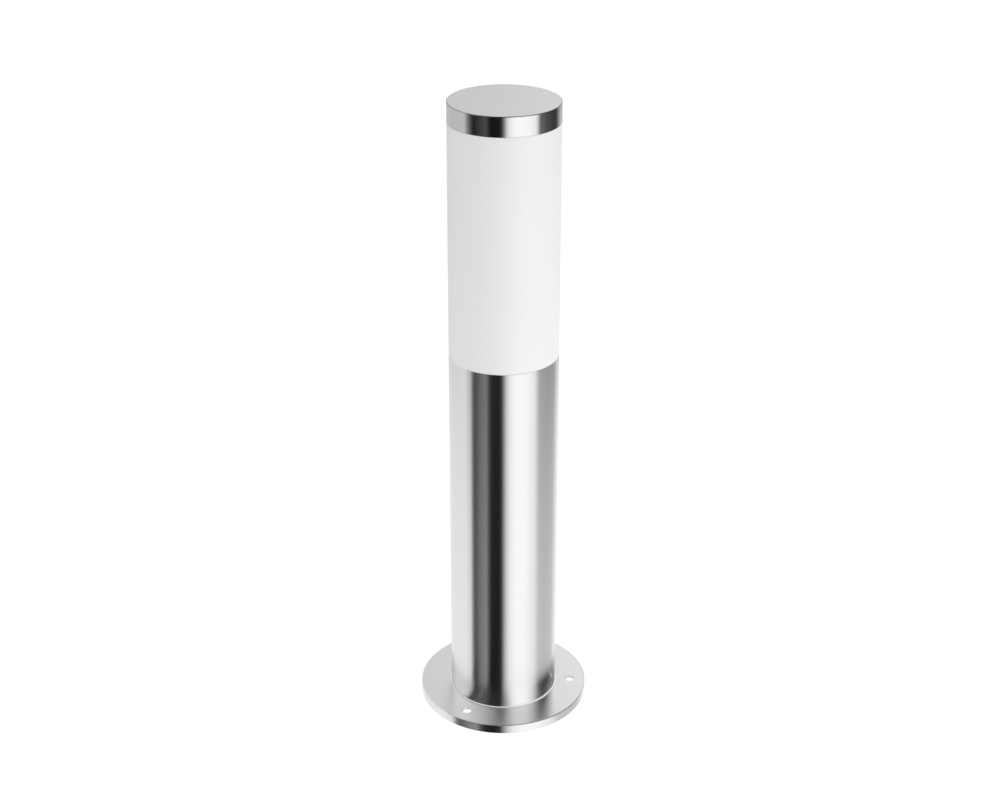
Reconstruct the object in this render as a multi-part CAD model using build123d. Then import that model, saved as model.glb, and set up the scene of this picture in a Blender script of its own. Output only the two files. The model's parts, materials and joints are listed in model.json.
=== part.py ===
from build123d import *
from math import cos, radians, sin
import os

os.makedirs("parts", exist_ok=True)

# Bollard light. Millimetres, +Z up, origin at the centre of the foot's underside.
# +X points at one of the three fixing holes in the foot.

# Clearances
touch = 0.02  # between pieces that bear on each other
slip = 0.05  # between a piece and the bore that holds it

# Outer body: tube, opal cylinder and cap share one outside radius
total_height = 450.0
body_radius = 38.0
tube_wall = 1.2
tube_inner = body_radius - tube_wall
tube_bottom = 1.5
tube_top = 270.0

# Foot
flange_radius = 60.0
flange_height = 6.4
flange_sheet = 1.5
flange_round = 0.6
flange_under_round = 0.3
hole_circle_radius = 49.0
hole_radius = 3.25
hole_count = 3
lip_radius = 38.75
lip_top = flange_height + 0.5
lip_round = 0.3

# Cable entry
plug_bottom = 3.0
plug_sheet = 3.0
plug_height = 9.0
plug_wall = 2.15
cable_radius = 4.6
cable_y = 15.2
grommet_waist = 6.45
grommet_radius = 8.0

# Wiring bracket and what is screwed to it
bracket_y = 20.0
bracket_sheet = 1.5
bracket_bottom = 16.0
bracket_top = 112.0
clamp_z = 31.0
clamp_x = 10.5
clamp_width = 10.0
clamp_ear = 2.0
block_bottom = 60.0
block_top = 82.0
block_middle = (block_bottom + block_top) / 2
block_half = 16.0
block_front = 7.0
pole_y = 13.0
pole_x = (-10.0, 0.0, 10.0)
pole_screw_z = (block_bottom + 5.5, block_top - 5.5)
block_screw_x = 5.0
barrel_radius = 2.95
earth_x = 22.0
earth_z = 88.0
small_screw = 1.45
wire_radius = 1.2
sleeve_bottom = 152.0
sleeve_top = 228.0

# Cross plate and head socket in the tube's top
bridge_top = 246.0
bridge_sheet = 2.0
leg_drop = 18.0
leg_sheet = 1.45
leg_span = 34.0
socket_floor = 250.0
socket_step = 262.0
socket_top = 269.0
socket_seal_radius = 35.2
socket_bore = 33.0
socket_opening = 27.0
socket_screw_circle = 29.9
socket_screw_first = 60.0

# Lug thread between the socket and the diffuser's neck
lug_count = 3
lug_lead = 30.0
lug_span = 20.0
lug_height = 2.6
lug_z = 256.2
lug_radius = 34.7
groove_radius = 34.9
groove_play = 0.5
groove_span = 110.0

# Diffuser
neck_bottom = 253.0
neck_bore = 30.2
neck_radius = 32.7
neck_seal_radius = 35.0
neck_step = 262.6
seal_groove_z = 266.15
seal_groove_half = 0.95
seal_groove_radius = 33.55
seal_cord = 0.79
diffuser_bottom = 270.1
diffuser_inner = 35.2
diffuser_shoulder = 436.0
spigot_radius = 36.85
spigot_inner = 34.2
diffuser_top = 447.9
roof_sheet = 2.5
diffuser_roof = diffuser_top - roof_sheet

# Cap
cap_bottom = 436.15
cap_wall = 1.0
cap_sheet = 1.2
cap_round = 0.5
cap_under = total_height - cap_sheet
stud_radius = 2.5
stud_bottom = 436.4
ghost_radius = 4.0
ghost_width = 0.9
ghost_depth = 0.05

# Lamp and lamp holder, placed from the tip of the lamp's contact
lamp_base = 268.0
lamp_length = 98.0
lamp_radius = 27.5
thread_pitch = 3.629
thread_root = 12.2
thread_crest = 13.2
thread_start = lamp_base + 8.0
insert_top = lamp_base - 2.0
insert_height = 9.95
insert_radius = 17.3
dome_top = insert_top - 6.0
holder_radius = 20.0
holder_wall = 1.5
shell_top = lamp_base + 22.5
shell_bore = 15.0
screw_shell_inner = 13.45
screw_shell_wall = 0.5
contact_x = 9.5
contact_screw_z = 253.2
nipple_radius = 4.98
nipple_bore = 3.5


# Shapes that the pieces are built from


def disc(radius, low, high):
    """Solid cylinder on the Z axis between two heights."""
    body = Cylinder(radius, high - low, align=(Align.CENTER, Align.CENTER, Align.MIN))
    return Pos(0, 0, low) * body


def ring(outer, inner, low, high):
    """Cylinder with a bore, on the Z axis, between two heights."""
    return disc(outer, low, high) - disc(inner, low - 1, high + 1)


def block(x0, x1, y0, y1, z0, z1):
    """Rectangular box given by its limits."""
    body = Box(x1 - x0, y1 - y0, z1 - z0)
    return Pos((x0 + x1) / 2, (y0 + y1) / 2, (z0 + z1) / 2) * body


def lathe(points):
    """Full turn about Z of a closed outline given as (radius, height) points."""
    outline = Polyline(*[(r, 0, z) for r, z in points], close=True)
    return revolve(make_face(outline), Axis.Z, 360)


def rod_y(radius, x, z, y0, y1):
    """Cylinder lying along Y."""
    body = Cylinder(radius, y1 - y0, rotation=(90, 0, 0))
    return Pos(x, (y0 + y1) / 2, z) * body


def wedge(angle, low, high):
    """Sector centred on +X that reaches past the tube."""
    half = radians(angle / 2)
    reach = flange_radius
    x = reach * cos(half)
    y = reach * sin(half)
    face = make_face(Polyline((0, 0), (x, -y), (x, y), close=True))
    return Pos(0, 0, low) * extrude(face, high - low)


def hexagon(across_flats, bore, low, high):
    """Hexagon nut with a plain bore."""
    face = RegularPolygon(across_flats / 2, 6, major_radius=False)
    body = Pos(0, 0, low) * extrude(face, high - low)
    return body - disc(bore, low - 1, high + 1)


def round_at(shape, height, radius, size):
    """Rounds the circular edges of one radius at one height."""
    edges = [
        e
        for e in shape.edges().filter_by(GeomType.CIRCLE)
        if abs(e.radius - radius) < 1e-3 and abs(e.arc_center.Z - height) < 1e-3
    ]
    return fillet(edges, size)


def polar(shape, count, first=0.0):
    """Copies of a shape spaced evenly about Z."""
    return [Rot(0, 0, first + 360 * k / count) * shape for k in range(count)]


def cut_all(shape, cuts):
    """Shape less each of several others."""
    for cut in cuts:
        shape = shape - cut
    return shape


def pan_screw(shank, length, head, head_height):
    """Pan-head screw with a cross recess, head underside at the origin, shank along -Z."""
    body = disc(head, 0, head_height)
    body = round_at(body, head_height, head, head_height * 0.45)
    body = body + disc(shank, -length, head_height / 10)
    arm = head * 0.55
    slot = head * 0.13
    cross = block(-arm, arm, -slot, slot, head_height * 0.45, head_height + 1)
    return cut_all(body, polar(cross, 4))


def front_screw(shank, length, head, x, y, z):
    """Pan-head screw driven along +Y, with its head's underside at y."""
    return Pos(x, y, z) * Rot(90, 0, 0) * pan_screw(shank, length, head, head * 0.72)


def helix_bar(inner, outer, root, tip, lead, height, start, span):
    """Bar wound about Z with a trapezium section.

    inner and outer are its two radii, root and tip its heights at those radii.
    It starts at one angle and height and climbs over its span in degrees.
    """
    path = Helix(pitch=lead, height=lead * span / 360, radius=inner)
    path = Pos(0, 0, height) * Rot(0, 0, start) * path
    radial = Vector(cos(radians(start)), sin(radians(start)), 0)
    plane = Plane(origin=path @ 0, x_dir=radial, z_dir=path % 0)
    depth = outer - inner
    corners = [(0, -root / 2), (depth, -tip / 2), (depth, tip / 2), (0, root / 2)]
    section = plane * make_face(Polyline(*corners, close=True))
    return sweep(section, path, is_frenet=True)


def lug_bars(inner, outer, height, first, span):
    """One helical bar per lug, each passing the middle of a lug at the lug height."""
    low = lug_z + lug_lead * first / 360
    bar = helix_bar(inner, outer, height, height, lug_lead, low, first, span)
    return polar(bar, lug_count)


def wire_along(path):
    """Round insulated wire along a line that starts upright."""
    start = Plane(origin=path @ 0, z_dir=(0, 0, 1))
    return sweep(start * Circle(wire_radius), path)


# Foot


def base_flange():
    """Pressed disc with a turned-down rim, three fixing holes and a lip round the tube."""
    under_top = flange_height - flange_sheet
    under_radius = flange_radius - flange_sheet
    shape = disc(flange_radius, 0, flange_height)
    shape = round_at(shape, flange_height, flange_radius, flange_round)
    under = disc(under_radius, -1, under_top)
    shape = shape - round_at(under, under_top, under_radius, flange_under_round)
    lip = disc(lip_radius, under_top, lip_top)
    shape = shape + round_at(lip, lip_top, lip_radius, lip_round)
    shape = shape - disc(body_radius + touch, -1, lip_top + 1)
    edge = 0.15
    mouth = Cone(hole_radius, hole_radius + edge, edge, align=(Align.CENTER, Align.CENTER, Align.MAX))
    hole = disc(hole_radius, 0, flange_height + 1) + Pos(0, 0, flange_height) * mouth
    return cut_all(shape, polar(Pos(hole_circle_radius, 0, 0) * hole, hole_count))


def post_tube():
    """Plain tube with its ends lightly broken."""
    edge = 0.15
    inner = (tube_inner, tube_inner + edge)
    outer = (body_radius, body_radius - edge)
    return lathe([
        (inner[1], tube_bottom), (outer[1], tube_bottom), (outer[0], tube_bottom + edge),
        (outer[0], tube_top - edge), (outer[1], tube_top), (inner[1], tube_top),
        (inner[0], tube_top - edge), (inner[0], tube_bottom + edge),
    ])


def weld_bead():
    """Fillet weld under the foot's sheet, round the outside of the tube."""
    r = body_radius + touch
    top = flange_height - flange_sheet - touch
    leg = 2.4
    return lathe([
        (r, top - leg), (r + leg * 0.4, top - leg * 0.8), (r + leg * 0.8, top - leg * 0.4),
        (r + leg, top), (r, top),
    ])


def bottom_plug():
    """Plastic plug that closes the tube's foot, with a hole for the grommet."""
    outer = tube_inner - slip
    shape = disc(outer, plug_bottom, plug_bottom + plug_height)
    shape = shape - disc(outer - plug_wall, plug_bottom + plug_sheet, plug_bottom + plug_height + 1)
    return shape - Pos(0, cable_y, 0) * disc(grommet_waist + slip, 0, plug_bottom + plug_sheet + 1)


def cable_grommet():
    """Rubber bush for the supply cable, its waist held by the plug."""
    low = plug_bottom - slip
    high = plug_bottom + plug_sheet + slip
    shape = lathe([
        (cable_radius, low - 1.55), (grommet_radius - 0.6, low - 1.55), (grommet_radius, low - 0.95),
        (grommet_radius, low), (grommet_waist, low), (grommet_waist, high), (grommet_radius, high),
        (grommet_radius, high + 0.85), (grommet_waist, high + 2.35), (cable_radius, high + 2.35),
    ])
    return Pos(0, cable_y, 0) * shape


# Wiring inside the tube


def wiring_bracket():
    """Upright plate spanning the tube on a chord, welded to the wall along both edges."""
    reach = body_radius
    plate = block(-reach, reach, bracket_y, bracket_y + bracket_sheet, bracket_bottom, bracket_top)
    plate = plate & disc(tube_inner - slip, bracket_bottom, bracket_top)
    back = bracket_y + bracket_sheet + 1
    small_hole = small_screw + slip
    holes = [rod_y(small_hole, x, clamp_z, 0, back) for x in (-clamp_x, clamp_x)]
    holes = holes + [rod_y(small_hole, x, block_middle, 0, back) for x in (-block_screw_x, block_screw_x)]
    holes.append(rod_y(2.0 + slip, earth_x, earth_z, 0, back))
    return cut_all(plate, holes)


def cord_clamp():
    """Saddle that presses the supply cable against the bracket."""
    low = clamp_z - clamp_width / 2
    high = clamp_z + clamp_width / 2
    face = bracket_y - slip
    inner = cable_radius + 0.15
    outer = inner + clamp_ear
    arch = Pos(0, cable_y, 0) * disc(outer, low, high) & block(-outer, outer, 0, cable_y, low, high)
    arch = arch + block(-outer, outer, cable_y, face, low, high)
    ear_end = clamp_x + 3.5
    shape = arch + block(-ear_end, ear_end, face - clamp_ear, face, low, high)
    shape = shape - Pos(0, cable_y, 0) * disc(inner, low - 1, high + 1)
    shape = shape - block(-inner, inner, cable_y, face + 1, low - 1, high + 1)
    return cut_all(shape, [rod_y(1.7, x, clamp_z, 0, bracket_y) for x in (-clamp_x, clamp_x)])


def cord_clamp_screws():
    """Two screws through the saddle's ears."""
    head_y = bracket_y - slip - clamp_ear - touch
    return [front_screw(small_screw, 5.5, 2.8, x, head_y, clamp_z) for x in (-clamp_x, clamp_x)]


def terminal_block():
    """Three-pole connector body with a screw tower at each end of each pole."""
    shape = block(-block_half, block_half, block_front, bracket_y - slip, block_bottom, block_top)
    places = [(x, z) for x in pole_x for z in pole_screw_z]
    for x, z in places:
        shape = shape + rod_y(3.9, x, z, block_front - 2.5, block_front + 0.5)
    end = 1.2
    pocket = disc(barrel_radius + slip, block_bottom + end, block_top - end)
    pocket = pocket + disc(1.9, block_bottom - 1, block_top + 1)
    shape = cut_all(shape, [Pos(x, pole_y, 0) * pocket for x in pole_x])
    shape = cut_all(shape, [rod_y(2.3, x, z, 0, pole_y) for x, z in places])
    for x in (-block_screw_x, block_screw_x):
        shape = shape - rod_y(1.7, x, block_middle, 0, bracket_y)
        shape = shape - rod_y(2.95, x, block_middle, 0, block_front + 3)
    return shape


def terminal_clamps():
    """Three brass barrels, each bored for the wires and tapped for two screws."""
    end = 1.3
    barrels = []
    for x in pole_x:
        barrel = Pos(x, pole_y, 0) * ring(barrel_radius, 1.5, block_bottom + end, block_top - end)
        barrels.append(cut_all(barrel, [rod_y(1.3, x, z, 0, pole_y) for z in pole_screw_z]))
    return barrels


def terminal_screw(x, z):
    """Small slotted screw whose tip reaches the wire in a barrel."""
    head_y = block_front - 0.8
    shape = rod_y(1.25, x, z, head_y + 1, pole_y - wire_radius - slip)
    shape = shape + rod_y(2.1, x, z, head_y, head_y + 2.2)
    return shape - block(x - 3, x + 3, head_y - 1, head_y + 0.7, z - 0.3, z + 0.3)


def terminal_screws():
    """Six clamping screws, two in each barrel."""
    return [terminal_screw(x, z) for x in pole_x for z in pole_screw_z]


def block_screws():
    """Two screws that hold the connector body on the bracket."""
    head_y = block_front + 3 - slip
    places = (-block_screw_x, block_screw_x)
    return [front_screw(small_screw, 14, 2.7, x, head_y, block_middle) for x in places]


lug_sheet = 0.8
lug_barrel = 1.95
lug_face = bracket_y - slip - lug_sheet
lug_wire_y = bracket_y - slip - lug_barrel - touch


def earth_lug():
    """Ring tongue with a crimp barrel that points up for the earth wire."""
    back = bracket_y - slip
    shape = rod_y(4.2, earth_x, earth_z, lug_face, back)
    shape = shape + block(earth_x - 2, earth_x + 2, lug_face, back, earth_z, earth_z + 8)
    barrel = disc(lug_barrel, earth_z + 7, earth_z + 14) - disc(1.3, earth_z + 8, earth_z + 15)
    shape = shape + Pos(earth_x, lug_wire_y, 0) * barrel
    return shape - rod_y(2.15, earth_x, earth_z, 0, bracket_y + 1)


def earth_washer():
    """Washer between the lug and the screw's head."""
    high = lug_face - touch
    return rod_y(4.0, earth_x, earth_z, high - 0.7, high) - rod_y(2.15, earth_x, earth_z, 0, bracket_y)


def earth_screw():
    """Earth screw into the bracket."""
    return front_screw(2.0, 7.5, 3.6, earth_x, lug_face - 0.7 - touch * 2, earth_z)


def earth_wire():
    """Short wire that arches from the third pole over to the earth lug."""
    x = pole_x[2]
    low = block_top - 6
    arch = 114.0
    corners = [
        (x, pole_y, low), (x, pole_y, arch), (earth_x, lug_wire_y, arch),
        (earth_x, lug_wire_y, earth_z + 9),
    ]
    return wire_along(FilletPolyline(*corners, radius=5.0))


def supply_wire(x, side):
    """Wire from a pole up the tube, through the nipple, to a contact in the holder."""
    run = side * 1.6
    low = block_top - 6
    straight = sleeve_bottom - 4
    middle = (x * 0.7 + run * 0.3, pole_y * 0.6, 116)
    bend = [(x, pole_y, low), (x, pole_y, low + 10), middle, (run, 0, straight)]
    lower = wire_along(Spline(*bend, tangents=[(0, 0, 1), (0, 0, 1)]))
    end_z = contact_screw_z + 0.8
    upper = FilletPolyline((run, 0, straight), (run, 0, end_z), (side * 7.6, 0, end_z), radius=2.0)
    return lower + wire_along(upper)


def live_wire():
    """Wire to the centre contact."""
    return supply_wire(pole_x[1], 1)


def neutral_wire():
    """Wire to the side contact."""
    return supply_wire(pole_x[0], -1)


def wire_sleeve():
    """Heat-resistant sleeve round the two supply wires."""
    return ring(3.9, 3.2, sleeve_bottom, sleeve_top)


# Tube top


def lamp_bridge():
    """Cross plate with three legs turned down along the tube wall and welded to it."""
    low = bridge_top - bridge_sheet
    outer = tube_inner - slip
    inner = outer - leg_sheet
    foot = low - leg_drop
    shape = lathe([
        (0, low), (inner, low), (inner, foot), (outer, foot), (outer, bridge_top), (0, bridge_top),
    ])
    window = ring(25, 12, low - 1, bridge_top + 1) & wedge(76, low - 1, bridge_top + 1)
    between = ring(outer + 3, inner - 3, foot - 1, low) & wedge(120 - leg_span, foot - 1, low)
    shape = cut_all(shape, polar(window, 3) + polar(between, 3))
    shape = shape - disc(nipple_radius + 0.17, low - 1, bridge_top + 1)
    tapped = Pos(socket_screw_circle, 0, 0) * disc(1.3, low - 1, bridge_top + 1)
    return cut_all(shape, polar(tapped, 3, socket_screw_first))


def head_socket():
    """Ring in the tube's top: floor for its screws, three helical grooves, plain seal bore."""
    outer = tube_inner - slip
    low = bridge_top + touch
    edge = 0.4
    shape = lathe([
        (socket_opening, low), (outer, low), (outer, socket_top), (socket_seal_radius + edge, socket_top),
        (socket_seal_radius, socket_top - edge), (socket_seal_radius, socket_step),
        (socket_bore, socket_step), (socket_bore, socket_floor), (socket_opening, socket_floor),
    ])
    first = -lug_span / 2 - 1.5
    height = lug_height + groove_play
    shape = cut_all(shape, lug_bars(socket_bore - 1, groove_radius, height, first, groove_span))
    drilled = Pos(socket_screw_circle, 0, 0) * disc(1.7, low - 1, socket_floor + 1)
    return cut_all(shape, polar(drilled, 3, socket_screw_first))


def socket_screws():
    """Three screws through the socket's floor into the cross plate."""
    screw = Pos(socket_screw_circle, 0, socket_floor + touch) * pan_screw(1.25, 9, 2.7, 2.0)
    return polar(screw, 3, socket_screw_first)


# Lamp holder

nipple_bottom = 232.0
nipple_top = 251.0
washer_sheet = 1.0
nut_height = 3.5


def nipple():
    """Hollow threaded tube through the cross plate, with plain flanks."""
    return ring(nipple_radius, nipple_bore, nipple_bottom, nipple_top)


def nipple_washer():
    """Washer under the cross plate."""
    high = bridge_top - bridge_sheet - touch
    return ring(8.5, nipple_radius + 0.17, high - washer_sheet, high)


def nipple_nut():
    """Thin hexagon nut under the washer."""
    high = bridge_top - bridge_sheet - washer_sheet - touch * 2
    return hexagon(14, nipple_radius + 0.07, high - nut_height, high)


def holder_dome():
    """Lower half of the holder, screwed on the nipple."""
    low = bridge_top + touch
    bore = nipple_radius + 0.07
    rim = holder_radius - 1.6
    seat = insert_top - insert_height - slip
    return lathe([
        (bore, low), (12, low), (17, low + 3), (holder_radius, low + 8), (holder_radius, dome_top),
        (rim, dome_top), (rim, insert_top), (rim - 1, insert_top), (rim - 1, seat), (15, seat),
        (15, seat - 4), (11, seat - 7), (bore, seat - 7),
    ])


def contact_slot(side):
    """Slot through the insert for a contact's leg."""
    x = side * contact_x
    return block(x - 0.6, x + 0.6, -2.1, 2.1, insert_top - insert_height - 1, insert_top + 1)


def holder_insert():
    """Insulating disc that carries both contacts and the screw shell."""
    shape = disc(insert_radius, insert_top - insert_height, insert_top)
    return cut_all(shape, [contact_slot(1), contact_slot(-1)])


def holder_shell():
    """Upper skirt of the holder with grip flutes."""
    ledge = insert_top + 0.1
    shape = ring(holder_radius, holder_radius - holder_wall, dome_top + slip, ledge)
    shape = shape + ring(holder_radius, shell_bore, ledge, shell_top)
    shape = round_at(shape, shell_top, holder_radius, 0.8)
    flute = Pos(holder_radius + 0.55, 0, 0) * disc(1.0, ledge + 2, shell_top - 6)
    return cut_all(shape, polar(flute, 24))


def screw_shell():
    """Threaded sleeve that takes the lamp cap, its thread a rib wound inside the sleeve."""
    outer = screw_shell_inner + screw_shell_wall
    shape = ring(outer, screw_shell_inner, insert_top + touch, shell_top - 2.5)
    first = thread_start + thread_pitch / 2
    turns = 2.5
    foot = screw_shell_inner + 0.2
    return shape + helix_bar(12.65, foot, 0.8, 1.3, thread_pitch, first, 0, 360 * turns)


def contact_leg(side):
    """Flat leg through the insert with a tapped hole for the wire screw."""
    x = side * contact_x
    leg = block(x - 0.5, x + 0.5, -2, 2, contact_screw_z - 2.2, insert_top + 0.3)
    return leg - Pos(x, 0, contact_screw_z) * Rot(0, 90, 0) * Cylinder(1.3, 4)


def centre_contact():
    """Sprung strip under the lamp's centre contact, with its leg through the insert."""
    low = insert_top + touch
    high = lamp_base - slip
    sheet = 0.48
    strip = Polyline(
        (10, 0, low), (10, 0, low + sheet), (4.5, 0, low + sheet), (1.5, 0, high), (-2.5, 0, high),
        (-2.5, 0, high - sheet), (1.3, 0, high - sheet), (4.3, 0, low), close=True,
    )
    return extrude(make_face(strip), 2, both=True) + contact_leg(1)


def side_contact():
    """Strip from the insert to the inside of the screw shell."""
    low = insert_top + touch
    end = screw_shell_inner - 0.35
    sheet = 0.45
    shape = block(-end, -contact_x, -2, 2, low, low + sheet)
    return shape + block(-end, sheet - end, -2, 2, low, low + 4.5) + contact_leg(-1)


def contact_screws():
    """Two screws that clamp the supply wires to the contact legs."""
    screw = Rot(0, 90, 0) * pan_screw(1.25, 2.2, 2.2, 1.8)
    return polar(Pos(contact_x + 0.5 + slip, 0, contact_screw_z) * screw, 2)


# Head


def diffuser():
    """Opal cylinder with a closed top and a reduced neck that carries the lugs and seal groove."""
    edge = 0.4
    groove_low = seal_groove_z - seal_groove_half
    groove_high = seal_groove_z + seal_groove_half
    stud_hole = stud_radius + 0.2
    neck_end = diffuser_bottom + 3
    shape = lathe([
        (neck_bore, neck_bottom), (neck_radius - edge, neck_bottom), (neck_radius, neck_bottom + edge),
        (neck_radius, neck_step), (neck_seal_radius - edge, neck_step),
        (neck_seal_radius, neck_step + edge),
        (neck_seal_radius, groove_low), (seal_groove_radius, groove_low),
        (seal_groove_radius, groove_high), (neck_seal_radius, groove_high),
        (neck_seal_radius, diffuser_bottom), (body_radius, diffuser_bottom),
        (body_radius, diffuser_shoulder), (spigot_radius, diffuser_shoulder),
        (spigot_radius, diffuser_top - edge), (spigot_radius - edge, diffuser_top),
        (stud_hole, diffuser_top), (stud_hole, diffuser_roof), (spigot_inner - 1, diffuser_roof),
        (spigot_inner, diffuser_roof - 1), (spigot_inner, diffuser_shoulder - 2),
        (diffuser_inner, diffuser_shoulder - 6), (diffuser_inner, neck_end + 4), (neck_bore, neck_end),
    ])
    for lug in lug_bars(neck_radius - 0.6, lug_radius, lug_height, -lug_span / 2, lug_span):
        shape = shape + lug
    return shape


def neck_o_ring():
    """Seal round the neck, at its squeezed size."""
    return Pos(0, 0, seal_groove_z) * Torus(seal_groove_radius + seal_cord + 0.03, seal_cord)


def cap_gasket():
    """Flat seal between the cap and the diffuser's top."""
    return ring(33.5, 27, diffuser_top + touch, cap_under - touch)


def top_cap():
    """Flat cap with a straight skirt, and on top the faint ring that the stud's weld left."""
    shape = disc(body_radius, cap_bottom, total_height)
    shape = round_at(shape, total_height, body_radius, cap_round)
    shape = shape - disc(body_radius - cap_wall, cap_bottom - 1, cap_under)
    ghost_inner = ghost_radius - ghost_width
    return shape - ring(ghost_radius, ghost_inner, total_height - ghost_depth, total_height + 1)


def cap_stud():
    """Stud welded under the cap, with its weld collar."""
    top = cap_under - touch
    return lathe([
        (0, stud_bottom), (stud_radius - 0.5, stud_bottom), (stud_radius, stud_bottom + 0.5),
        (stud_radius, top - 0.6), (stud_radius + 0.9, top - 0.3), (stud_radius + 0.9, top), (0, top),
    ])


def cap_washer():
    """Washer under the diffuser's top."""
    high = diffuser_roof - touch
    return ring(7.5, stud_radius + 0.15, high - washer_sheet, high)


def cap_nut():
    """Nut that draws the cap down on the diffuser."""
    high = diffuser_roof - washer_sheet - touch * 2
    return hexagon(8, stud_radius + slip, high - 4, high)


# Lamp


def lamp_contact_pip():
    """Centre contact of the lamp."""
    z = lamp_base
    top = z + 1.4 - touch
    return lathe([(0, z), (2.6, z), (4.2, z + 0.4), (4.7, z + 0.9), (4.7, top), (0, top)])


def lamp_insulator():
    """Moulded insulator between the centre contact and the screw cap."""
    z = lamp_base + 1.4
    top = z + 4.0
    return lathe([
        (0, z), (5.2, z), (6.4, z + 0.25), (9.9, z + 2.4), (11.1, z + 3.5), (11.1, top), (0, top),
    ])


def lamp_screw_cap():
    """Metal screw cap of the lamp: a thin sleeve with a wound thread."""
    z = lamp_base + 5.4 + touch
    sheet = 0.5
    top = lamp_base + 28
    shape = lathe([
        (9.0, z), (11.3, z), (thread_root, z + 1.2), (thread_root, top), (thread_root - sheet, top),
        (thread_root - sheet, z + 1.5), (11.1, z + sheet + 0.1), (9.0, z + sheet + 0.1),
    ])
    turns = 3.5
    foot = thread_root - 0.2
    return shape + helix_bar(foot, thread_crest, 2.0, 0.9, thread_pitch, thread_start, 0, 360 * turns)


housing_low = lamp_base + 23
housing_high = lamp_base + 58
board_low = lamp_base + 53.1
board_sheet = 1.6


def lamp_housing():
    """Plastic body of the lamp, a flared shell from the screw cap up to the dome."""
    collar = thread_root + slip
    low = housing_low
    outside = [(13.7, low), (13.9, low + 5), (15.4, low + 11), (19.2, low + 22), (22.8, low + 31)]
    rim = [(24.3, housing_high), (23.2, housing_high), (22.2, housing_high - 2.4)]
    inside = [(20.6, board_low - 0.1), (19.6, board_low - 2.6), (17.9, low + 22.5), (14.2, low + 11.5)]
    return lathe([(collar, low), *outside, *rim, *inside, (12.6, low + 5.1), (collar, low + 5.1)])


def lamp_driver():
    """Upright circuit board of the lamp with its capacitor and coil."""
    sheet = 0.8
    shape = block(-8, 8, -sheet, sheet, lamp_base + 11, lamp_base + 46)
    shape = shape + Pos(-3, 4.1, 0) * disc(3.5, lamp_base + 30, lamp_base + 44)
    return shape + block(1, 7.5, -6, 0, lamp_base + 31, lamp_base + 39)


def led_board():
    """Round board that carries the light-emitting chips."""
    return ring(20.4, 2.0, board_low, board_low + board_sheet)


def led_chips():
    """Two rings of light-emitting chips."""
    low = board_low + board_sheet + touch
    chip = block(-1.75, 1.75, -1.4, 1.4, low, low + 0.7)
    return polar(Pos(15.5, 0, 0) * chip, 12) + polar(Pos(8.0, 0, 0) * chip, 6)


def lamp_bulb():
    """Opal dome of the lamp, part of a hollow sphere."""
    top = lamp_base + lamp_length
    ball = Sphere(lamp_radius) - Sphere(lamp_radius - 1.1)
    return Pos(0, 0, top - lamp_radius) * ball & disc(body_radius, housing_high + slip, top + 1)


makers = [
    base_flange, post_tube, weld_bead, bottom_plug, cable_grommet, wiring_bracket, cord_clamp,
    cord_clamp_screws, terminal_block, terminal_clamps, terminal_screws, block_screws, earth_lug,
    earth_washer, earth_screw, earth_wire, live_wire, neutral_wire, wire_sleeve, lamp_bridge,
    head_socket, socket_screws, nipple, nipple_washer, nipple_nut, holder_dome, holder_insert,
    holder_shell, screw_shell, centre_contact, side_contact, contact_screws, diffuser, neck_o_ring,
    cap_gasket, top_cap, cap_stud, cap_washer, cap_nut, lamp_contact_pip, lamp_insulator,
    lamp_screw_cap, lamp_housing, lamp_driver, led_board, led_chips, lamp_bulb,
]

for maker in makers:
    shape = maker()
    if isinstance(shape, list):
        shape = Compound(children=shape)
    export_step(shape, f"parts/{maker.__name__}.step")
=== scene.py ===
"""Looks of a bollard light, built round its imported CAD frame. Metres, +Z up, camera towards +Y."""

import json
import math

import bmesh
import bpy
from mathutils import Matrix, Vector


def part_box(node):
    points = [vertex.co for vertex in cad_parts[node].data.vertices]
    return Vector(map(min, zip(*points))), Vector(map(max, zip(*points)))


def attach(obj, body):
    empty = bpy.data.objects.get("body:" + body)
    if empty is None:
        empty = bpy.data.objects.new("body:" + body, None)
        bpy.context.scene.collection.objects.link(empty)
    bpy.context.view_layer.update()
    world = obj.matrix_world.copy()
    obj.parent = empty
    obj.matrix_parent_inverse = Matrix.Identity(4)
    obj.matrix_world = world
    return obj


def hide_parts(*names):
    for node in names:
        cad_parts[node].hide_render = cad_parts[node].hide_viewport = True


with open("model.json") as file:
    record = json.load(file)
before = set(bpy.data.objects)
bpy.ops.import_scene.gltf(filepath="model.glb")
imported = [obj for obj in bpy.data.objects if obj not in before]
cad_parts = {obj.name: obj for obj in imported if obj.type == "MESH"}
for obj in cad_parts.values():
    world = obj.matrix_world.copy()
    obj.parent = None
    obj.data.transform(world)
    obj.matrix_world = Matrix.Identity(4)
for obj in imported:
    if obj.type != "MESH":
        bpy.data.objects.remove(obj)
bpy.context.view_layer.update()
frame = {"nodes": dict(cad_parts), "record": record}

MM = 0.001
nodes = frame["nodes"]


# Shader graphs


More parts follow.
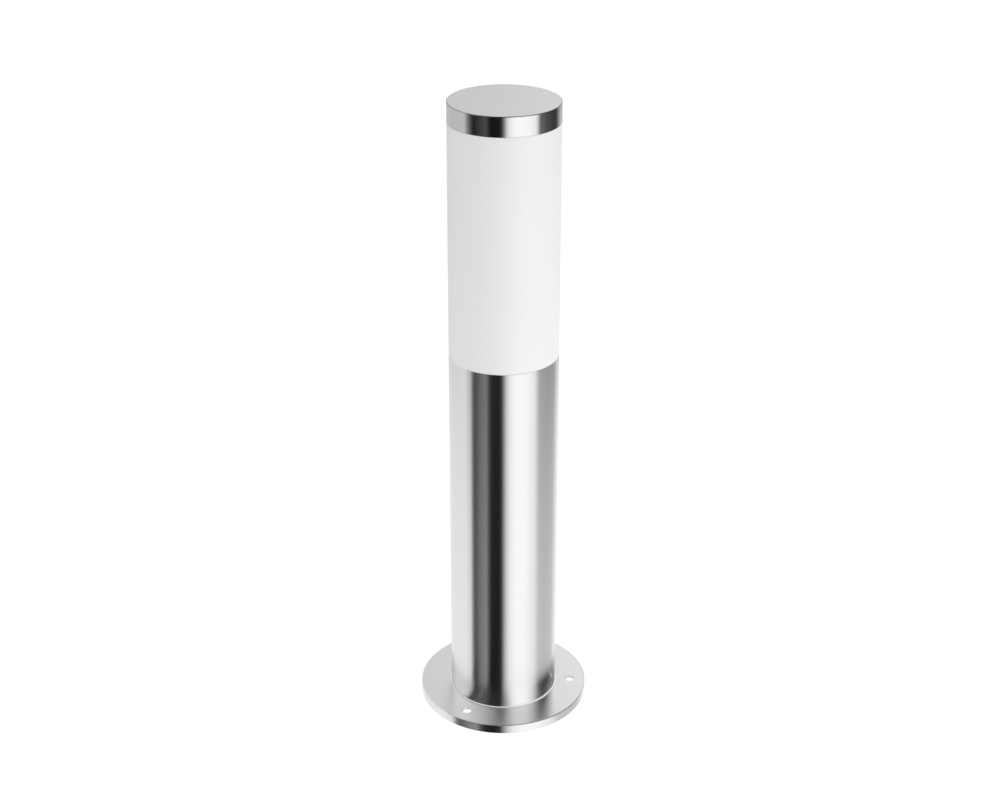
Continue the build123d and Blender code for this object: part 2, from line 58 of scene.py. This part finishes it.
class Graph:
    """Adds shader nodes to one tree and links them."""

    def __init__(self, tree):
        self.tree = tree
        tree.nodes.clear()

    def add(self, kind, inputs=None, **settings):
        """New node; each input is a plain value, or a socket to link from."""
        node = self.tree.nodes.new(kind)
        for name, value in settings.items():
            setattr(node, name, value)
        for name, value in (inputs or {}).items():
            self.feed(node.inputs[name], value)
        return node

    def feed(self, socket, value):
        """Sets a socket to a plain value, or links it."""
        if isinstance(value, bpy.types.NodeSocket):
            self.tree.links.new(value, socket)
        else:
            socket.default_value = value

    def math(self, operation, a, b=0.0, clamp=False):
        """Output of a math node."""
        return self.add("ShaderNodeMath", {0: a, 1: b}, operation=operation, use_clamp=clamp).outputs[0]

    def remap(self, value, from_low, from_high, to_low, to_high):
        """Value mapped linearly from one range to another and held inside it."""
        inputs = {"Value": value, 1: from_low, 2: from_high, 3: to_low, 4: to_high}
        return self.add("ShaderNodeMapRange", inputs).outputs[0]

    def mix(self, factor, a, b):
        """Blend of two colours."""
        node = self.add("ShaderNodeMix", data_type="RGBA")
        self.feed(node.inputs[0], factor)
        self.feed(node.inputs[6], a)
        self.feed(node.inputs[7], b)
        return node.outputs[2]

    def noise(self, vector, scale, detail=2.0, roughness=0.5):
        """Value of a noise texture, from 0 to 1."""
        inputs = {"Vector": vector, "Scale": scale, "Detail": detail, "Roughness": roughness}
        return self.add("ShaderNodeTexNoise", inputs).outputs[0]

    def ramp(self, value, stops):
        """Colour ramp through (position, grey) stops."""
        node = self.add("ShaderNodeValToRGB", {0: value})
        elements = node.color_ramp.elements
        for _ in range(len(stops) - len(elements)):
            elements.new(0.5)
        for element, (position, grey) in zip(elements, stops):
            element.position = position
            element.color = (grey, grey, grey, 1)
        return node.outputs[0]


def linear(display):
    """Scene brightness that the screen shows as this share of white."""
    return ((display + 0.055) / 1.055) ** 2.4 if display > 0.04045 else display / 12.92


def neutral(grey):
    """Opaque colour with no tint."""
    return (grey, grey, grey, 1)


def material(name):
    """New node material and its graph."""
    made = bpy.data.materials.new(name)
    made.use_nodes = True
    return made, Graph(made.node_tree)


def finish_material(graph, **inputs):
    """Principled surface to the output; names use underscores for spaces."""
    named = {key.replace("_", " "): value for key, value in inputs.items()}
    shader = graph.add("ShaderNodeBsdfPrincipled", named)
    output = graph.add("ShaderNodeOutputMaterial")
    graph.tree.links.new(shader.outputs[0], output.inputs[0])


def turned_coordinates(graph, around, along):
    """Object coordinates unrolled about Z, so a noise draws streaks that run round the axis."""
    place = graph.add("ShaderNodeTexCoord").outputs["Object"]
    x, y, z = graph.add("ShaderNodeSeparateXYZ", {0: place}).outputs
    angle = graph.math("ARCTAN2", y, x)
    flat = graph.add("ShaderNodeVectorMath", {0: place, 1: (1, 1, 0)}, operation="MULTIPLY").outputs[0]
    radius = graph.add("ShaderNodeVectorMath", {0: flat}, operation="LENGTH").outputs[1]
    turned = {0: graph.math("MULTIPLY", angle, around), 1: graph.math("MULTIPLY", z, along),
              2: graph.math("MULTIPLY", radius, along)}
    return graph.add("ShaderNodeCombineXYZ", turned).outputs[0]


def camera_angle(graph):
    """Turn of a surface point about the axis, from 0 to 1, with the camera's side in the middle."""
    place = graph.add("ShaderNodeNewGeometry").outputs["Position"]
    x, y, _ = graph.add("ShaderNodeSeparateXYZ", {0: place}).outputs
    return camera_turn(graph, x, y)


def camera_turn(graph, x, y):
    """Turn of a direction about the axis, from 0 to 1, with the camera's side in the middle."""
    angle = graph.math("ARCTAN2", x, graph.math("MULTIPLY", y, -1.0))
    angle = graph.math("SUBTRACT", angle, math.radians(CAMERA_AZIMUTH))
    return graph.math("FRACT", graph.math("ADD", graph.math("MULTIPLY", angle, 1 / math.tau), 0.5))


def foot_edges(graph, flat):
    """The foot's lip and the walls of its holes: 1 on each of them, 0 elsewhere."""
    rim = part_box("base_flange")[1][0]
    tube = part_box("post_tube")[1][0]
    place = graph.add("ShaderNodeNewGeometry").outputs["Position"]
    level = graph.add("ShaderNodeVectorMath", {0: place, 1: (1, 1, 0)}, operation="MULTIPLY").outputs[0]
    radius = graph.add("ShaderNodeVectorMath", {0: level}, operation="LENGTH").outputs[1]
    lip = graph.math("LESS_THAN", radius, tube + LIP_WIDTH)
    inside = graph.math("LESS_THAN", radius, rim - RIM_WIDTH)
    wall = graph.math("MULTIPLY", inside, graph.math("LESS_THAN", flat, 0.5))
    return lip, wall


def on_cap_edge(graph, up):
    """Whether a point is on the cap, and whether it is on the cap's rounded edge."""
    place = graph.add("ShaderNodeNewGeometry").outputs["Position"]
    z = graph.add("ShaderNodeSeparateXYZ", {0: place}).outputs[2]
    capped = graph.math("GREATER_THAN", z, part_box("top_cap")[0][2])
    past_side = graph.remap(up, 0.05, 0.3, 0.0, 1.0)
    before_top = graph.remap(up, 0.96, 0.999, 1.0, 0.0)
    rounding = graph.math("MULTIPLY", past_side, before_top)
    return capped, graph.math("MULTIPLY", capped, rounding)


def foot_finish(graph, flat, colour):
    """Colour, metal share and glow of the foot: bright hole walls, a painted highlight on the lip (white
    colour and a glow), and painted shade where the tube mirrors the foot.
    """
    lip, wall = foot_edges(graph, flat)
    edge = graph.math("MAXIMUM", lip, wall)
    mirrored = graph.add("ShaderNodeLightPath").outputs["Is Glossy Ray"]
    image = ring_light(graph, camera_angle(graph), FOOT_IMAGE, 1.0)
    # The lip's white colour is a painted highlight; where the tube mirrors the foot, the foot takes a painted
    # shade.
    hole_walls_and_lip_highlight = graph.mix(mirrored, graph.mix(lip, HOLE_WALL, LIP_PAINTED_HIGHLIGHT), image)
    colour = graph.mix(edge, graph.mix(mirrored, colour, image), hole_walls_and_lip_highlight)
    # Painted highlight: the lip glows, except where it is seen in a mirror.
    glow = graph.math("MULTIPLY", graph.math("SUBTRACT", lip, mirrored, clamp=True), LIP_HIGHLIGHT_GLOW)
    return colour, graph.math("SUBTRACT", 1.0, edge), glow


def brushed_steel(name, grey, roughness, streak, flat_roughness=0.3, foot=False):
    """Stainless steel brushed round the axis.

    Reflections stay sharp round the axis and smear along it. Flat faces have their own
    roughness and don't smear. The cap is smoother and its rounded edge darker.
    """
    made, graph = material(name)
    fine = graph.noise(turned_coordinates(graph, 2.5, 2200.0), 1.0, 3.0, 0.65)
    broad = graph.noise(turned_coordinates(graph, 0.7, 240.0), 1.0, 2.0, 0.5)
    both = graph.math("ADD", graph.math("MULTIPLY", fine, 0.6), graph.math("MULTIPLY", broad, 0.4))
    normal = graph.add("ShaderNodeNewGeometry").outputs["True Normal"]
    up = graph.math("ABSOLUTE", graph.add("ShaderNodeSeparateXYZ", {0: normal}).outputs[2])
    flat = graph.remap(up, 0.3, 0.9, 0.0, 1.0)
    capped, cap_edge = on_cap_edge(graph, up)
    colour = graph.mix(both, neutral(grey * (1 - streak)), neutral(grey * (1 + streak)))
    colour = graph.mix(cap_edge, colour, CAP_EDGE)
    metal, glow = 1.0, 0.0
    if foot:
        colour, metal, glow = foot_finish(graph, flat, colour)
    bump = {"Strength": 0.3, "Distance": BRUSH_DEPTH, "Height": fine}
    side = graph.remap(capped, 0.0, 1.0, roughness, roughness * CAP_FINISH)
    rough = graph.remap(flat, 0.0, 1.0, side, flat_roughness)
    finish_material(
        graph,
        Base_Color=colour,
        Metallic=metal,
        Roughness=graph.math("MULTIPLY", rough, graph.remap(both, 0.3, 0.7, 0.97, 1.03)),
        Anisotropic=graph.remap(flat, 0.0, 1.0, 1.0, 0.0),
        Anisotropic_Rotation=0.25,
        Tangent=graph.add("ShaderNodeTangent", direction_type="RADIAL", axis="Z").outputs[0],
        Normal=graph.add("ShaderNodeBump", bump).outputs[0],
        Emission_Color=neutral(1),
        Emission_Strength=glow,
    )
    return made


def satin_steel(name, grey, roughness, bump):
    """Pressed or mill-finish steel with a fine grain and faint handling marks."""
    made, graph = material(name)
    place = graph.add("ShaderNodeTexCoord").outputs["Object"]
    grain = graph.noise(place, 3200.0, 3.0, 0.6)
    cloud = graph.noise(place, 45.0, 2.0, 0.5)
    colour = graph.mix(cloud, neutral(grey * 0.96), neutral(grey * 1.04))
    height = graph.add("ShaderNodeBump", {"Strength": 0.3, "Distance": bump, "Height": grain}).outputs[0]
    finish_material(
        graph,
        Base_Color=colour,
        Metallic=1.0,
        Roughness=graph.remap(cloud, 0.3, 0.7, roughness * 0.9, roughness * 1.15),
        Normal=height,
    )
    return made


def moulded(name, colour, roughness, grain_scale, bump, scatter=0.0, cloud_depth=0.05):
    """Moulded plastic, rubber or glaze with a fine grain."""
    made, graph = material(name)
    place = graph.add("ShaderNodeTexCoord").outputs["Object"]
    grain = graph.noise(place, grain_scale, 3.0, 0.6)
    cloud = graph.noise(place, 60.0, 2.0, 0.5)
    darker = tuple(c * (1 - cloud_depth) for c in colour) + (1,)
    lighter = tuple(min(1.0, c * (1 + cloud_depth)) for c in colour) + (1,)
    height = graph.add("ShaderNodeBump", {"Strength": 0.25, "Distance": bump, "Height": grain}).outputs[0]
    finish_material(
        graph,
        Base_Color=graph.mix(cloud, darker, lighter),
        Roughness=graph.remap(grain, 0.3, 0.7, roughness * 0.92, roughness * 1.1),
        Subsurface_Weight=scatter,
        Subsurface_Radius=(0.004, 0.004, 0.004),
        Subsurface_Scale=1.0,
        Normal=height,
    )
    return made


def opal(name, colour, roughness):
    """Opal plastic that scatters light: satin skin, a faint swirl, and painted shade under the cap that makes
    it a little darker towards the top.
    """
    made, graph = material(name)
    place = graph.add("ShaderNodeTexCoord").outputs["Object"]
    z = graph.add("ShaderNodeSeparateXYZ", {0: place}).outputs[2]
    skin = graph.noise(place, 2400.0, 3.0, 0.6)
    swirl = graph.noise(place, 18.0, 3.0, 0.5)
    low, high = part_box("diffuser")
    # Painted shade under the cap: the colour falls towards the top of the diffuser.
    shade = graph.remap(z, low[2], high[2], 1.0, OPAL_TOP_SHADE)
    shade = graph.math("MULTIPLY", shade, graph.remap(swirl, 0.3, 0.7, 0.997, 1.003))
    tint = graph.add("ShaderNodeVectorMath", {0: colour, "Scale": shade}, operation="SCALE").outputs[0]
    height = graph.add("ShaderNodeBump", {"Strength": 0.2, "Distance": 0.004 * MM, "Height": skin}).outputs[0]
    finish_material(
        graph,
        Base_Color=tint,
        Roughness=graph.remap(skin, 0.3, 0.7, roughness * 0.94, roughness * 1.06),
        Subsurface_Weight=OPAL_SCATTER,
        Subsurface_Radius=(1.0, 1.0, 1.0),
        Subsurface_Scale=1.5 * MM,
        Normal=height,
    )
    return made


def two_colour_wire(name, ground, stripe):
    """Earth wire: a stripe of a second colour along one side of its whole arch."""
    made, graph = material(name)
    place = graph.add("ShaderNodeTexCoord").outputs["Object"]
    low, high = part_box("earth_wire")
    along = (high[0] - low[0] - 2 * WIRE_RADIUS, high[1] - low[1] - 2 * WIRE_RADIUS)
    length = math.hypot(*along)
    across = (-along[1] / length, along[0] / length, 0.0)
    start = (low[0] + WIRE_RADIUS) * across[0] + (low[1] + WIRE_RADIUS) * across[1]
    side = graph.add("ShaderNodeVectorMath", {0: place, 1: across}, operation="DOT_PRODUCT").outputs[1]
    off = graph.math("SUBTRACT", side, start)
    striped = graph.remap(off, -0.05 * MM, 0.05 * MM, 0.0, 1.0)
    grain = graph.noise(place, 900.0, 3.0, 0.6)
    height = graph.add("ShaderNodeBump", {"Strength": 0.2, "Distance": 0.02 * MM, "Height": grain}).outputs[0]
    finish_material(
        graph,
        Base_Color=graph.mix(striped, ground + (1,), stripe + (1,)),
        Roughness=graph.remap(grain, 0.3, 0.7, 0.32, 0.4),
        Normal=height,
    )
    return made


def woven_glass(name, colour):
    """Glass yarn: fine filaments along each strand, matt with a soft sheen."""
    made, graph = material(name)
    uv = graph.add("ShaderNodeUVMap", uv_map="strand").outputs[0]
    thread = graph.add("ShaderNodeVectorMath", {0: uv, 1: (1.0, 9.0, 1.0)}, operation="MULTIPLY").outputs[0]
    filament = graph.noise(thread, 4.0, 3.0, 0.6)
    darker = tuple(c * 0.82 for c in colour) + (1,)
    bump = {"Strength": 0.5, "Distance": 0.05 * MM, "Height": filament}
    finish_material(
        graph,
        Base_Color=graph.mix(filament, darker, colour + (1,)),
        Roughness=0.75,
        Sheen_Weight=0.3,
        Normal=graph.add("ShaderNodeBump", bump).outputs[0],
    )
    return made


def tinted_metal(name, colour, roughness, grain_scale, bump):
    """Brass, nickel, zinc plate or aluminium."""
    made, graph = material(name)
    place = graph.add("ShaderNodeTexCoord").outputs["Object"]
    grain = graph.noise(place, grain_scale, 3.0, 0.6)
    darker = tuple(c * 0.9 for c in colour) + (1,)
    lighter = tuple(min(1.0, c * 1.06) for c in colour) + (1,)
    height = graph.add("ShaderNodeBump", {"Strength": 0.3, "Distance": bump, "Height": grain}).outputs[0]
    finish_material(
        graph,
        Base_Color=graph.mix(grain, darker, lighter),
        Metallic=1.0,
        Roughness=graph.remap(grain, 0.3, 0.7, roughness * 0.85, roughness * 1.2),
        Normal=height,
    )
    return made


# Painted shade under the cap: the share of the diffuser's colour left at its top.
OPAL_TOP_SHADE = 0.965
OPAL_SCATTER = 0.15
WIRE_RADIUS = 1.2 * MM
SLEEVE_WALL = 0.7 * MM
STEEL = 0.72
BRUSH_DEPTH = 0.001 * MM
# Painted highlight: the white colour of the foot's lip.
LIP_PAINTED_HIGHLIGHT = (0.95, 0.95, 0.95, 1)
HOLE_WALL = (0.80, 0.80, 0.80, 1)
LIP_WIDTH = 0.62 * MM
# Painted highlight: how strongly the foot's lip glows.
LIP_HIGHLIGHT_GLOW = 0.3
CAP_FINISH = 0.7
CAP_EDGE = (0.24, 0.24, 0.245, 1)
RIM_WIDTH = 3.0 * MM

# How light the foot is where the tube mirrors it, by angle from the camera, matched to one
# view of the object. It stands in for the shade that the dark flags would throw on the foot.
FOOT_IMAGE = [
    (-180, 0.80), (-62, 0.83), (-51, 0.82), (-46, 0.62), (-43, 0.24), (-40, 0.21), (-36, 0.31),
    (-28, 0.37), (-22, 0.34), (-16, 0.13), (-10, 0.16), (-4, 0.30), (1, 0.87), (6, 0.95),
    (14, 1.00), (52, 1.00), (62, 0.85), (72, 0.64), (82, 0.56), (96, 0.60), (112, 0.78),
    (180, 0.80),
]

# Brushed steel takes a grey, a roughness and a streak depth; satin steel a grey, a roughness
# and a bump depth; plastics and tinted metals a colour, a roughness, a grain scale and a bump
# depth.
SLOT_MATERIALS = {
    "brushed_stainless": lambda n: brushed_steel(n, STEEL, 0.20, 0.012),
    "pressed_stainless": lambda n: brushed_steel(n, STEEL, 0.20, 0.008, 0.32, foot=True),
    "mill_stainless": lambda n: satin_steel(n, 0.55, 0.38, 0.00002),
    "weld_metal": lambda n: satin_steel(n, 0.40, 0.45, 0.0001),
    "opal_plastic": lambda n: opal(n, (0.91, 0.91, 0.905), 0.38),
    "lamp_dome": lambda n: moulded(n, (0.93, 0.93, 0.92), 0.42, 2400.0, 0.000004, 0.1, 0.004),
    "lamp_body": lambda n: moulded(n, (0.86, 0.86, 0.84), 0.25, 2000.0, 0.00001),
    "socket_plastic": lambda n: moulded(n, (0.05, 0.05, 0.055), 0.45, 1800.0, 0.00004),
    "holder_plastic": lambda n: moulded(n, (0.02, 0.02, 0.02), 0.25, 1500.0, 0.00002),
    "holder_ceramic": lambda n: moulded(n, (0.80, 0.77, 0.70), 0.18, 900.0, 0.00003),
    "plug_plastic": lambda n: moulded(n, (0.03, 0.03, 0.03), 0.5, 1800.0, 0.00004),
    "clamp_plastic": lambda n: moulded(n, (0.06, 0.06, 0.06), 0.45, 1800.0, 0.00003),
    "block_plastic": lambda n: moulded(n, (0.72, 0.70, 0.62), 0.35, 1500.0, 0.00002),
    "seal_rubber": lambda n: moulded(n, (0.32, 0.06, 0.035), 0.5, 1500.0, 0.00003),
    "grommet_rubber": lambda n: moulded(n, (0.012, 0.012, 0.012), 0.6, 1500.0, 0.00004),
    "brass": lambda n: tinted_metal(n, (0.80, 0.60, 0.26), 0.28, 1200.0, 0.00001),
    "nickel": lambda n: tinted_metal(n, (0.66, 0.62, 0.55), 0.26, 1200.0, 0.00001),
    "lamp_cap_metal": lambda n: tinted_metal(n, (0.80, 0.80, 0.81), 0.26, 1200.0, 0.00001),
    "zinc_steel": lambda n: tinted_metal(n, (0.60, 0.62, 0.66), 0.34, 900.0, 0.00002),
    "solder": lambda n: tinted_metal(n, (0.58, 0.58, 0.60), 0.36, 700.0, 0.00005),
    "insulator_glass": lambda n: moulded(n, (0.012, 0.008, 0.02), 0.1, 500.0, 0.00002),
    "driver_board": lambda n: moulded(n, (0.02, 0.13, 0.06), 0.35, 1500.0, 0.00002),
    "led_board_metal": lambda n: moulded(n, (0.88, 0.88, 0.87), 0.3, 1500.0, 0.00001),
    "led_phosphor": lambda n: moulded(n, (0.90, 0.66, 0.10), 0.3, 2500.0, 0.00001),
    "wire_live": lambda n: moulded(n, (0.14, 0.05, 0.02), 0.35, 900.0, 0.00002),
    "wire_neutral": lambda n: moulded(n, (0.02, 0.07, 0.36), 0.35, 900.0, 0.00002),
    "wire_earth": lambda n: two_colour_wire(n, (0.03, 0.22, 0.04), (0.85, 0.62, 0.03)),
    "sleeve": lambda n: woven_glass(n, (0.82, 0.80, 0.74)),
}


def dress(made):
    """Gives every node the material of its record slot."""
    for part in frame["record"]["subparts"]:
        node = nodes[part["node"]]
        node.data.materials.clear()
        node.data.materials.append(made[part["material_slot"]])


# Braided sleeve

BRAID_STRANDS = 9
BRAID_TURNS = 3.5
BRAID_STEPS = 252
STRAND_SIDES = 8


def strand_ring(angle, radius, z, lean, width, thickness):
    """Corners of one flat oval section of a strand that leans round the sleeve."""
    outward = Vector((math.cos(angle), math.sin(angle), 0))
    around = Vector((-math.sin(angle), math.cos(angle), 0))
    across = Vector((0, 0, 1)) * math.cos(lean) - around * math.sin(lean)
    centre = outward * radius + Vector((0, 0, z))
    corners = []
    for k in range(STRAND_SIDES):
        turn = math.tau * k / STRAND_SIDES
        corners.append(centre + across * (width * math.cos(turn)) + outward * (thickness * math.sin(turn)))
    return corners


def strand(mesh, uv, start, hand, low, high, middle, swing, width, thickness):
    """One strand wound along the sleeve, passing over and under the strands of the other hand."""
    twist = math.tau * BRAID_TURNS / (high - low)
    lean = math.atan(middle * twist) * hand
    rows = []
    for step in range(BRAID_STEPS + 1):
        z = low + (high - low) * step / BRAID_STEPS
        weave = math.cos(BRAID_STRANDS * twist * (z - low)) * hand
        angle = start + hand * twist * (z - low)
        corners = strand_ring(angle, middle + swing * weave, z, lean, width, thickness)
        rows.append([mesh.verts.new(corner) for corner in corners])
    for step, (row, upper) in enumerate(zip(rows, rows[1:])):
        for k in range(STRAND_SIDES):
            after = (k + 1) % STRAND_SIDES
            face = mesh.faces.new((row[k], row[after], upper[after], upper[k]))
            face.smooth = True
            places = ((step, k), (step, k + 1), (step + 1, k + 1), (step + 1, k))
            for loop, (length, side) in zip(face.loops, places):
                loop[uv].uv = (length / BRAID_STEPS, side / STRAND_SIDES)
    mesh.faces.new(list(reversed(rows[0])))
    mesh.faces.new(rows[-1])


def braided_sleeve(made):
    """Woven glass sleeve round the two supply wires, in place of its plain CAD tube."""
    low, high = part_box("wire_sleeve")
    outer = (high[0] - low[0]) / 2
    thickness = SLEEVE_WALL / 5
    swing = thickness
    middle = outer - thickness - swing
    width = math.pi * middle / BRAID_STRANDS * 0.62
    end = width
    mesh = bmesh.new()
    uv = mesh.loops.layers.uv.new("strand")
    for k in range(BRAID_STRANDS):
        for hand in (1, -1):
            start = math.tau * k / BRAID_STRANDS
            strand(mesh, uv, start, hand, low[2] + end, high[2] - end, middle, swing, width, thickness)
    data = bpy.data.meshes.new("braided_sleeve")
    mesh.to_mesh(data)
    mesh.free()
    data.materials.append(made["sleeve"])
    piece = bpy.data.objects.new("braided_sleeve", data)
    bpy.context.scene.collection.objects.link(piece)
    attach(piece, "post")
    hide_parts("wire_sleeve")


# Studio

CAMERA_AZIMUTH = 2.0
CAMERA_DISTANCE = 1.1424
CAMERA_HEIGHT = 0.785
CAMERA_PITCH = 21.42
CAMERA_ROLL = 0.1
CAMERA_LENS = 65.5
CAMERA_SHIFT = (-0.004, -0.1384)
SPOT_REACH = 10 * MM

SOFT_LEFT = 0.375
SOFT_RIGHT = 1.02


def shift_lens(eye):
    """Shifts the lens while the camera stands on its own spot, and centres it anywhere else."""
    spot = bpy.data.objects.new("camera_spot", None)
    spot.location = eye.location
    bpy.context.scene.collection.objects.link(spot)
    for name, amount in zip(("shift_x", "shift_y"), CAMERA_SHIFT):
        curve = eye.data.driver_add(name)
        curve.driver.type = "SUM"
        away = curve.driver.variables.new()
        away.type = "LOC_DIFF"
        away.targets[0].id = eye
        away.targets[1].id = spot
        for modifier in list(curve.modifiers):
            curve.modifiers.remove(modifier)
        for distance, value in ((SPOT_REACH, amount), (3 * SPOT_REACH, 0.0)):
            curve.keyframe_points.insert(distance, value).interpolation = "LINEAR"


def camera():
    """Camera at the photograph's viewing angle; its frame is a crop from below the lens axis."""
    data = bpy.data.cameras.new("camera")
    data.lens = CAMERA_LENS
    data.sensor_width = 36.0
    eye = bpy.data.objects.new("camera", data)
    turn = math.radians(CAMERA_AZIMUTH)
    eye.location = (CAMERA_DISTANCE * math.sin(turn), -CAMERA_DISTANCE * math.cos(turn), CAMERA_HEIGHT)
    aim = Matrix.Rotation(turn, 4, "Z") @ Matrix.Rotation(math.radians(90 - CAMERA_PITCH), 4, "X")
    eye.rotation_euler = (aim @ Matrix.Rotation(math.radians(CAMERA_ROLL), 4, "Z")).to_euler()
    bpy.context.scene.collection.objects.link(eye)
    bpy.context.scene.camera = eye
    shift_lens(eye)


# What the steel mirrors: at an angle from the camera round the axis, the grey that the steel
# then shows, matched to one view of the object. Tall dark flags stand left of the camera and
# far to the right, with a white panel between them. One ring below the horizon, one just under
# it, one above it.
LOW_RING = [
    (-180, 0.90), (-140, 0.91), (-110, 0.93), (-84, 0.96), (-75, 0.93), (-70, 0.04), (-63, 0.04),
    (-58, 0.42), (-50, 0.51), (-38, 0.58), (-33, 0.32), (-28, 0.00), (-12, 0.05), (-4, 0.18),
    (1, 0.57), (7, 0.79), (14, 0.91), (26, 0.98), (46, 0.99), (58, 0.95), (68, 0.92),
    (77, 0.90), (83, 0.84), (100, 0.81), (120, 0.81), (132, 0.82), (142, 0.92), (152, 0.95),
    (180, 0.95),
]
MIDDLE_RING = [
    (-180, 0.68), (-150, 0.72), (-120, 0.70), (-90, 0.70), (-84, 0.66), (-79, 0.42), (-73, 0.08),
    (-54, 0.04), (-46, 0.12), (-38, 0.15), (-32, 0.10), (-26, 0.00), (-10, 0.08), (-5, 0.18),
    (0, 0.48), (6, 0.82), (12, 0.92), (25, 0.98), (50, 0.96), (64, 0.92), (70, 0.76),
    (75, 0.28), (84, 0.22), (94, 0.10), (114, 0.05), (124, 0.06), (134, 0.42), (150, 0.72),
    (165, 0.60), (180, 0.66),
]
HIGH_RING = [
    (-180, 0.78), (-168, 0.74), (-150, 0.88), (-128, 1.04), (-80, 1.02), (-60, 0.95), (-45, 0.90),
    (-31, 0.82), (-17, 0.62), (-5, 0.32), (4, 0.42), (10, 0.76), (20, 1.02), (40, 1.06),
    (60, 1.00), (75, 0.74), (86, 0.20), (96, 0.00), (108, 0.02), (119, 0.40), (130, 0.90),
    (146, 0.98), (172, 1.02), (180, 0.86),
]
ZENITH = 0.12
RING_PEAK = 1.4
FLAG_CAST = (1.02, 1.0, 0.93, 1)


def ring_light(graph, turn, stops, peak):
    """Brightness round one ring as a share of its peak, for a turn from 0 to 1."""
    return graph.ramp(turn, [((angle + 180) / 360, linear(grey) / peak) for angle, grey in stops])


def between(graph, height, low, high):
    """Share from 0 to 1 as the ray's elevation goes from one angle to another, in degrees."""
    return graph.remap(height, math.sin(math.radians(low)), math.sin(math.radians(high)), 0.0, 1.0)


def studio():
    """White to the eye; tall flags and panels to the steel; a soft light from the right to the rest."""
    world = bpy.data.worlds.new("studio")
    bpy.context.scene.world = world
    world.use_nodes = True
    graph = Graph(world.node_tree)
    ray = graph.add("ShaderNodeTexCoord").outputs["Generated"]
    x, y, z = graph.add("ShaderNodeSeparateXYZ", {0: ray}).outputs
    turn = camera_turn(graph, x, y)
    rings = (LOW_RING, MIDDLE_RING, HIGH_RING)
    low, middle, high = [ring_light(graph, turn, ring, RING_PEAK) for ring in rings]
    rings = graph.mix(between(graph, z, -27, -21), low, middle)
    rings = graph.mix(between(graph, z, 9, 24), rings, high)
    rings = graph.mix(between(graph, z, 50, 64), rings, neutral(linear(ZENITH) / RING_PEAK))
    cast = graph.mix(graph.remap(rings, 0.0, 0.4, 0.0, 1.0), FLAG_CAST, neutral(1))
    rings = graph.add("ShaderNodeVectorMath", {0: rings, 1: cast}, operation="MULTIPLY").outputs[0]
    side = graph.remap(x, -0.62, 0.18, SOFT_LEFT, SOFT_RIGHT)
    soft = graph.add("ShaderNodeCombineColor", {0: side, 1: side, 2: side}).outputs[0]
    path = graph.add("ShaderNodeLightPath")
    mirrored = path.outputs["Is Glossy Ray"]
    eye = path.outputs["Is Camera Ray"]
    seen = graph.mix(eye, graph.mix(mirrored, soft, rings), neutral(1))
    strength = graph.remap(mirrored, 0.0, 1.0, 1.0, RING_PEAK / STEEL)
    back = graph.add("ShaderNodeBackground", {"Color": seen, "Strength": strength})
    output = graph.add("ShaderNodeOutputWorld")
    graph.tree.links.new(back.outputs[0], output.inputs[0])


def floor():
    """Plain white floor that the steel doesn't mirror."""
    half = 6.0
    mesh = bpy.data.meshes.new("floor")
    corners = [(-half, -half, 0), (half, -half, 0), (half, half, 0), (-half, half, 0)]
    mesh.from_pydata(corners, [], [(0, 1, 2, 3)])
    made, graph = material("floor_paper")
    diffuse = graph.add("ShaderNodeBsdfDiffuse", {"Color": (0.1, 0.1, 0.1, 1)})
    glow = graph.add("ShaderNodeEmission", {"Color": (1, 1, 1, 1), "Strength": 0.97})
    both = graph.add("ShaderNodeAddShader", {0: diffuse.outputs[0], 1: glow.outputs[0]})
    output = graph.add("ShaderNodeOutputMaterial")
    graph.tree.links.new(both.outputs[0], output.inputs[0])
    mesh.materials.append(made)
    plane = bpy.data.objects.new("floor", mesh)
    plane.location.z = -0.2 * MM
    plane.visible_glossy = False
    bpy.context.scene.collection.objects.link(plane)


def colour_management():
    """Plain screen colours, as in a product picture."""
    view = bpy.context.scene.view_settings
    view.view_transform = "Standard"
    view.look = "None"


materials = {slot: build(slot) for slot, build in SLOT_MATERIALS.items()}
dress(materials)
braided_sleeve(materials)
floor()
studio()
camera()
colour_management()
